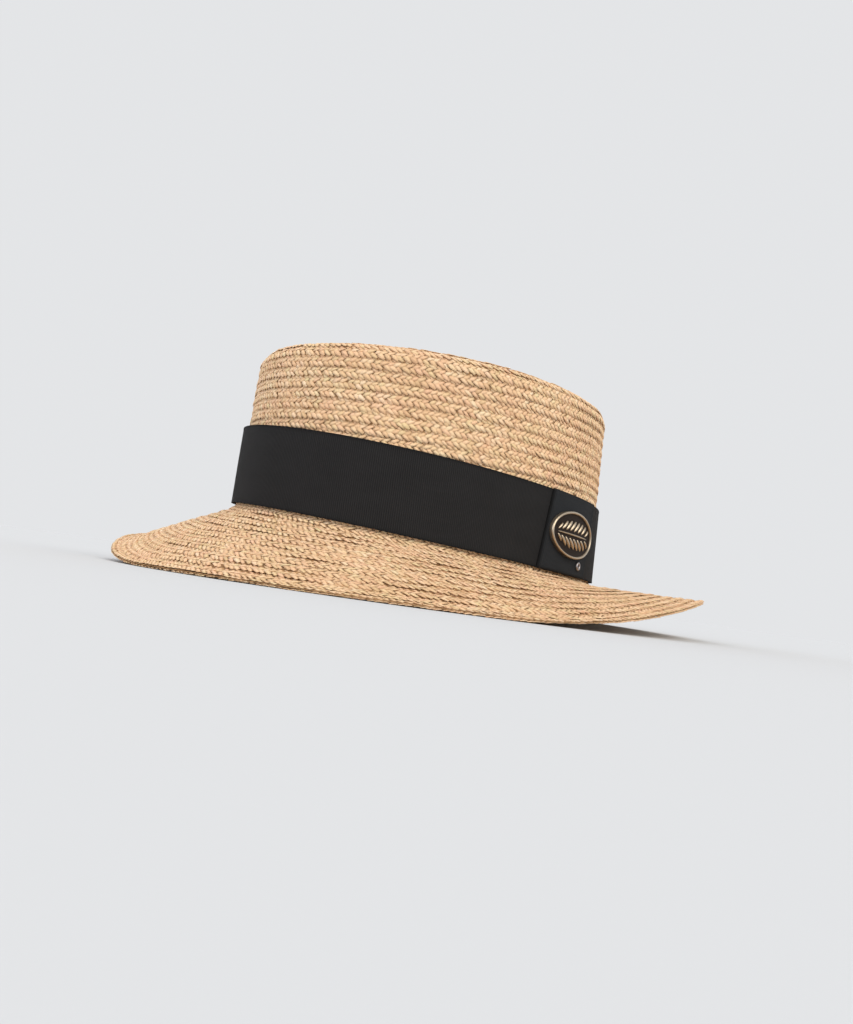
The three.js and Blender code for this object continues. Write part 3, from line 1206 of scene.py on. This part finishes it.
@dataclass(frozen=True)
class Ribbon:
    """Band of grosgrain round the crown, on the slant of the root line. It lies a little away from the
    straw, and further at the wearer's right."""

    form: HatForm
    back: float = 0.72  # beyond the crown's wall, as is the next
    face: float = 1.5
    stands_off: float = 1.5
    stands_off_at: float = math.radians(213)
    stands_off_reach: float = math.radians(48)
    ripple: float = 0.1
    ripples: tuple[tuple[float, ...], ...] = ((1.0, 7, 0.6, 0.0), (0.7, 11, 2.1, 2.0), (0.5, 23, 0.0, 0.0))
    # of each set its height, how many go round, where it starts and how it leans
    steady: float = 0.45  # share of looseness and ripple that is there all over the ribbon
    selvedge: float = 0.1  # how much thicker the two edges are
    selvedge_reach: float = 0.035  # share of half the width
    stations: tuple[int, int] = (360, 27)

    @property
    def width(self) -> float:
        """Width of the ribbon."""
        return self.form.ribbon_top - self.form.ribbon_bottom

    def rise(self, turn: Array, share: Array) -> Array:
        """How far the ribbon stands off: by a hump around where it is loosest, more towards the top, and
        everywhere by slow waves that are strongest at its edges.

        Args:
            turn: Angles round the hat.
            share: Shares of the way up the ribbon.

        Returns:
            The distances.
        """
        loose = self.stands_off * hump(turn, self.stands_off_at, self.stands_off_reach)
        waves = sum(
            tall * np.sin(many * turn + start + lean * share) for tall, many, start, lean in self.ripples
        )
        rest = 1 - self.steady
        edge = self.steady + rest * np.abs(2 * share - 1)
        return loose * (self.steady + rest * share) + self.ripple * waves * edge

    def build(self, finish: Material) -> None:
        """Makes the band.

        Args:
            finish: Of the cloth.
        """
        around, across = self.stations
        turn, share = circle(around)[:, None], eased(across)[None, :]
        height = self.form.ribbon_bottom + self.width * share
        rise = self.rise(turn, share)
        thicker = self.selvedge * np.exp(-(((1 - np.abs(2 * share - 1)) / self.selvedge_reach) ** 2))
        front = self.form.above_root(turn, height, self.face + rise + thicker)
        back = self.form.above_root(turn, height, self.back + rise)
        along = turn * (self.form.half_width + self.form.half_length) / 2
        band = cloth(front, back, True, along, height - self.form.ribbon_bottom)
        piece = band.write("ribbon_band_cloth", self.form, finish, "ribbon_band", "ribbon")
        middle = front[:, across // 2]


@dataclass(frozen=True)
class Tab:
    """Short piece of the same ribbon folded round the band's join, a little askew."""

    form: HatForm
    ribbon: Ribbon
    left: tuple[float, float] = (-19.2, -15.3)  # degrees, at the bottom and the top, as is the next
    right: tuple[float, float] = (9.2, 13.1)
    overhang: float = 0.4  # past the band's edges
    back: float = 1.72  # beyond the crown's wall, as is the next
    face: float = 2.75
    slack: float = 0.06  # how much lower the back lies
    fold: float = 0.28  # how much the folded sides stand out
    fold_from_side: float = 1.3
    fold_reach: float = 1.1
    # width of the tab's sides that are darkened with painted shade
    side_shade: float = 1.6  # width of the darker sides
    roundings: tuple[int, int] = (40, 50)  # powers of the shares to the sides and to the other edges
    ripples: tuple[Triple, ...] = ((0.1, 5, 2), (0.06, 4, 9))  # height, and radians lengthways and up
    stations: tuple[int, int] = (61, 41)

    def build(self, finish: Material) -> None:
        """Makes the tab: a plate whose four edges round off, its face falling with a high power of the
        share of the way from the middle to each edge.

        Args:
            finish: Of the cloth.
        """
        a, v = eased(self.stations[0])[:, None], eased(self.stations[1])[None, :]
        left, right = (np.radians(low + (high - low) * v) for low, high in (self.left, self.right))
        angle = left + (right - left) * a
        width = float(np.mean(right - left)) * (self.form.half_width + self.face)
        tall = self.ribbon.width + 2 * self.overhang
        height = self.form.ribbon_bottom - self.overhang + tall * v
        sides, ends = (
            (1 - np.abs(2 * share - 1) ** power) ** 0.5 for share, power in zip((a, v), self.roundings)
        )
        from_side = width * (0.5 - np.abs(a - 0.5))
        fold = self.fold * np.exp(-(((from_side - self.fold_from_side) / self.fold_reach) ** 2))
        ripple = sum(high * np.sin(lengthways * a + up * v) for high, lengthways, up in self.ripples)
        rise = self.ribbon.rise(angle, v)
        front_out = self.back + (self.face - self.back + fold + ripple) * (sides * ends) + rise
        front = self.form.above_root(angle, height, front_out)
        back = self.form.above_root(angle, height, self.back - self.slack + rise)
        tab = cloth(front, back, False, width * a, height)
        # painted shade along the tab's two folded sides
        side_shade = np.clip(from_side / self.side_shade, 0, 1)
        tab.attributes["weave"][:, 2] *= np.repeat(side_shade.ravel(), 2 * v.size)
        piece = tab.write("ribbon_tab_cloth", self.form, finish, "ribbon_tab", "ribbon")
        width * MM
        tall * MM
        log.info("ribbon_tab: flat %.1f by %.1f mm", width, tall)


Ring = tuple[float, float, float, float]  # how far an oval is drawn in from the outline, the share to
# which it is then shrunk, its lift and how gilt it is


@dataclass(frozen=True)
class Plate:
    """Round metal piece on the tab, built in rings. Lengths along and up the ribbon are from its middle,
    and its lifts are off its back."""

    form: HatForm
    along: float
    height: float  # above the root line
    half_length: float
    half_height: float
    start: float = math.radians(-3.5)  # angle of the badge's middle
    seat: float = 2.86  # its back, beyond the crown's wall
    facets: int = 96

    def points(self, along: Array, up: Array, lift: Array) -> Array:
        """Points on or over the plate: the way along, over the radius of the hat's side, is added to
        the angle of the badge's middle."""
        out = self.seat + lift
        angle = self.start + (self.along + along) / (self.form.half_width + out)
        return self.form.above_root(angle, self.height + up, out)

    def rings(self, table: Sequence[Ring]) -> Skin:
        """Skins ovals one inside or behind the other, and closes the first and the last.

        Args:
            table: The rings.

        Returns:
            The closed body, with the attribute `gilt`.
        """
        inset, share, lift, gilt = (column[:, None] for column in np.array(table).T)
        turn = circle(self.facets)[None, :]
        along = share * (self.half_length - inset) * np.cos(turn)
        up = share * (self.half_height - inset) * np.sin(turn)
        grid = self.points(along, up, lift)
        faces = [face[:, ::-1] for face in capped(len(table), self.facets)]
        return Skin(grid.reshape(-1, 3), faces, {"gilt": np.repeat(gilt[:, 0], self.facets)})


def half_round(width: float, base: float, tall: float, count: int) -> list[Ring]:
    """Rings over a gilt rim that is half round, from its outline inwards.

    Args:
        width: Of the rim.
        base: Lift of its two feet.
        tall: Its height over them.
        count: How many rings.

    Returns:
        The rings.
    """
    half = width / 2
    bends = np.linspace(0, math.pi, count)
    return [(half - half * math.cos(bend), 1.0, base + tall * math.sin(bend), 1.0) for bend in bends]


@dataclass(frozen=True)
class Badge:
    """Oval badge: a round gilt rim, a dark recessed field and an ear of grain in relief, lying along
    it: a stem with slanting grains on both sides."""

    form: HatForm
    half_length: float = 19.5
    half_height: float = 10.8
    rim: float = 1.15  # width
    rim_base: float = 1.35
    rim_round: float = 0.75
    rim_inside: float = 0.35  # how gilt its inner foot is
    field: float = 1.1
    field_drop: float = 0.08  # how far past the rim the field starts
    field_dome: float = 0.2
    pairs: int = 8
    spacing: float = 3.7
    grain: Triple = (3.5, 0.85, 0.95)  # half length, half width and height
    sunk: float = 0.1  # how deep the grains start under the field
    overlap: float = 0.15  # how much higher they are for it
    smallest: float = 0.35  # how much smaller the outermost grains are
    slant: float = math.radians(47)
    reach: float = 4.1  # from the stem to the middle of a grain
    stem: float = 0.5  # half its width
    ovals: tuple[float, ...] = (0.25, 0.55, 0.8, 0.95, 1.0)  # of a grain, as shares of its outline
    facets: int = 14

    def rim_table(self) -> list[Ring]:
        """Rings from the back, over the rim, a half round, and in over the slightly domed field."""
        back = [(0.0, share, 0.0, DULL) for share in (0.3, 0.7, 1.0)]
        crest = half_round(self.rim, self.rim_base, self.rim_round, 11)
        crest[-1] = (*crest[-1][:3], self.rim_inside)
        field = [
            (self.rim + self.field_drop, share, self.field + self.field_dome * (1 - share**2), 0.0)
            for share in (1.0, 0.85, 0.6, 0.3)
        ]
        return back + crest + field

    def grains(self, plate: Plate) -> Skin:
        """Grains as half-sunk domes whose height falls from the middle as a half circle does.

        Args:
            plate: The plate that they stand on.

        Returns:
            The grains and the stem.
        """
        place = (np.arange(self.pairs) - (self.pairs - 1) / 2) * self.spacing
        tapering = 1 - self.smallest * (np.abs(place) / np.abs(place).max()) ** 3
        half_long, half_wide, tall = self.grain
        table = [
            (x, side, size, half_long * size, half_wide * size)
            for side in (1, -1)
            for x, size in zip(place, tapering)
        ]
        table.append((0.0, 0.0, 1.0, self.pairs * self.spacing / 2, self.stem))
        x, side, size, length, width = np.array(table).T[:, :, None, None]
        radius, turn = np.array(self.ovals)[:, None], circle(self.facets)
        u, w = length * radius * np.cos(turn), width * radius * np.sin(turn)
        lean = side * self.slant
        along = x + u * np.cos(lean) - w * np.sin(lean)
        up = side * self.reach * size + u * np.sin(lean) + w * np.cos(lean)
        lift = self.field - self.sunk + (tall + self.overlap) * np.sqrt(1 - radius**2)
        points = plate.points(along, up, lift + 0 * along)
        faces = repeated(capped(radius.size, turn.size), radius.size * turn.size, len(table))
        return Skin(points.reshape(-1, 3), faces, {"gilt": np.ones(points.size // 3)})

    def build(self, metal: Material) -> None:
        """Makes the badge.

        Args:
            metal: Its finish.
        """
        middle = (self.form.ribbon_bottom + self.form.ribbon_top) / 2
        plate = Plate(self.form, 0.0, middle, self.half_length, self.half_height)
        badge = plate.rings(self.rim_table()).joined(self.grains(plate))
        badge.write("badge_plate", self.form, metal, "badge", "badge_metal")


@dataclass(frozen=True)
class Eyelet:
    """Small round ring with a dark hole, on the tab's lower edge."""

    form: HatForm
    along: float = 9.5
    height: float = 7.0
    radius: float = 2.1
    hole: float = 0.9
    crest: float = 0.9
    base: float = 0.2  # where the crest starts
    floor: float = 0.12
    facets: int = 40

    def build(self, metal: Material) -> None:
        """Makes the eyelet: its crest is a half round from the outline to the hole.

        Args:
            metal: Its finish.
        """
        plate = Plate(self.form, self.along, self.height, self.radius, self.radius, facets=self.facets)
        wide = self.radius - self.hole
        back = [(0.0, share, 0.0, DULL) for share in (0.5, 1.0)]
        crest = half_round(wide, self.base, self.crest - self.base, 10)
        floor = [(wide, share, self.floor, 0.0) for share in (0.98, 0.4)]
        ring = plate.rings(back + crest + floor)
        ring.write("eyelet_ring", self.form, metal, "eyelet", "eyelet_metal")


# ---- Studio ----


def off_axis(azimuth: float, distance: float) -> tuple[float, float]:
    """The place at a distance from the hat's axis, the azimuth starting from the front."""
    return distance * math.sin(azimuth), -distance * math.cos(azimuth)


@dataclass(frozen=True)
class Camera:
    """Where the hat is seen from. Lengths are metres."""

    azimuth: float = math.radians(33.5)
    distance: float = 0.52
    height: float = 0.009
    aim: Triple = (0.0, 0.0, 0.046)
    roll: float = math.radians(8)
    lens: float = 35.5
    nearest: float = 0.002  # what is seen starts this far from the lens

    def place(self) -> None:
        """Sets the camera up, looking at the aim and turned about its line of sight."""
        camera = in_scene("camera", bpy.data.cameras.new("camera"))
        camera.data.lens, camera.data.clip_start = self.lens, self.nearest
        stand = Vector((*off_axis(self.azimuth, self.distance), self.height))
        sight = (Vector(self.aim) - stand).to_track_quat("-Z", "Y").to_matrix().to_4x4()
        camera.matrix_world = Matrix.Translation(stand) @ sight @ Matrix.Rotation(self.roll, 4, "Z")
        bpy.context.scene.camera = camera


@dataclass(frozen=True)
class Lamp:
    """A far, wide light: degrees round from the camera, up and across, and its strength."""

    name: str
    round: float
    up: float
    spread: float
    strength: float
    colour: Colour

    def place(self, azimuth: float) -> None:
        """Hangs the lamp up.

        Args:
            azimuth: The camera's.
        """
        lamp = in_scene(self.name, bpy.data.lights.new(self.name, "SUN"))
        lamp.data.energy, lamp.data.angle = self.strength, math.radians(self.spread)
        lamp.data.color = self.colour
        up = math.radians(self.up)
        out = Vector((*off_axis(azimuth + math.radians(self.round), math.cos(up)), math.sin(up)))
        lamp.matrix_world = (-out).to_track_quat("-Z", "Y").to_matrix().to_4x4()


@dataclass(frozen=True)
class Studio:
    """A pale floor as wide as can be seen, a plain sky of the same brightness, and soft lamps."""

    camera: Camera
    floor_radius: float = 60.0
    floor_sides: int = 96
    paint: Colour = (0.604, 0.619, 0.642)
    sky: Colour = (0.775, 0.785, 0.80)
    lamps: tuple[Lamp, ...] = (
        Lamp("key", 38, 42, 50, 1.5, (1.0, 0.93, 0.80)),
        Lamp("front", -10, 10, 70, 0.8, (1.0, 0.95, 0.93)),
        Lamp("fill", -75, 20, 80, 0.6, (0.86, 0.89, 1.0)),
        Lamp("back", 190, 25, 80, 0.5, (1.0, 0.98, 0.96)),
    )

    def build(self) -> None:
        """Makes the floor as a round sheet, and the lamps and the sky."""
        turn = circle(self.floor_sides)
        ring = np.stack([np.cos(turn), np.sin(turn), 0 * turn], axis=-1) * self.floor_radius
        mesh = bpy.data.meshes.new("studio_floor")
        mesh.from_pydata(ring.tolist(), [], [range(self.floor_sides)])
        paint = Shader("studio_paint")
        mesh.materials.append(
            paint.finished(Base_Color=(*self.paint, 1.0), Roughness=1.0, Specular_IOR_Level=0.0)
        )
        in_scene("studio_floor", mesh)
        for lamp in self.lamps:
            lamp.place(self.camera.azimuth)
        world = bpy.data.worlds.new("studio_sky")
        world.use_nodes = True
        world.node_tree.nodes["Background"].inputs["Color"].default_value = (*self.sky, 1.0)
        bpy.context.scene.world = world
        bpy.context.scene.view_settings.view_transform = "Standard"


def main() -> None:
    """Builds the camera and studio and then each sub-assembly."""
    logging.basicConfig(level=logging.INFO, format="%(name)s: %(message)s")
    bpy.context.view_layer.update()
    camera = Camera()
    camera.place()
    Studio(camera).build()
    form, plait, ground = HatForm.from_frame(), Plait(), StrawGround()
    straw, between = StrawFinish("raffia_straw").material(), GroundFinish().material()
    Crown(CrownShape(form), plait, ground).build(straw, between)
    Brim(BrimShape(form), plait, ground).build(straw, between)
    ribbon = Ribbon(form)
    ribbon.build(RibbonFinish("ribbon_black").material())
    paler = RibbonFinish("ribbon_tab_black", (0.0095, 0.0107, 0.0125), (0.0305, 0.0335, 0.038))
    Tab(form, ribbon).build(paler.material())
    Badge(form).build(MetalFinish("badge_gilt").material())
    Eyelet(form).build(MetalFinish("eyelet_gilt", (0.34, 0.31, 0.31)).material())


if __name__ == "__main__":
    main()
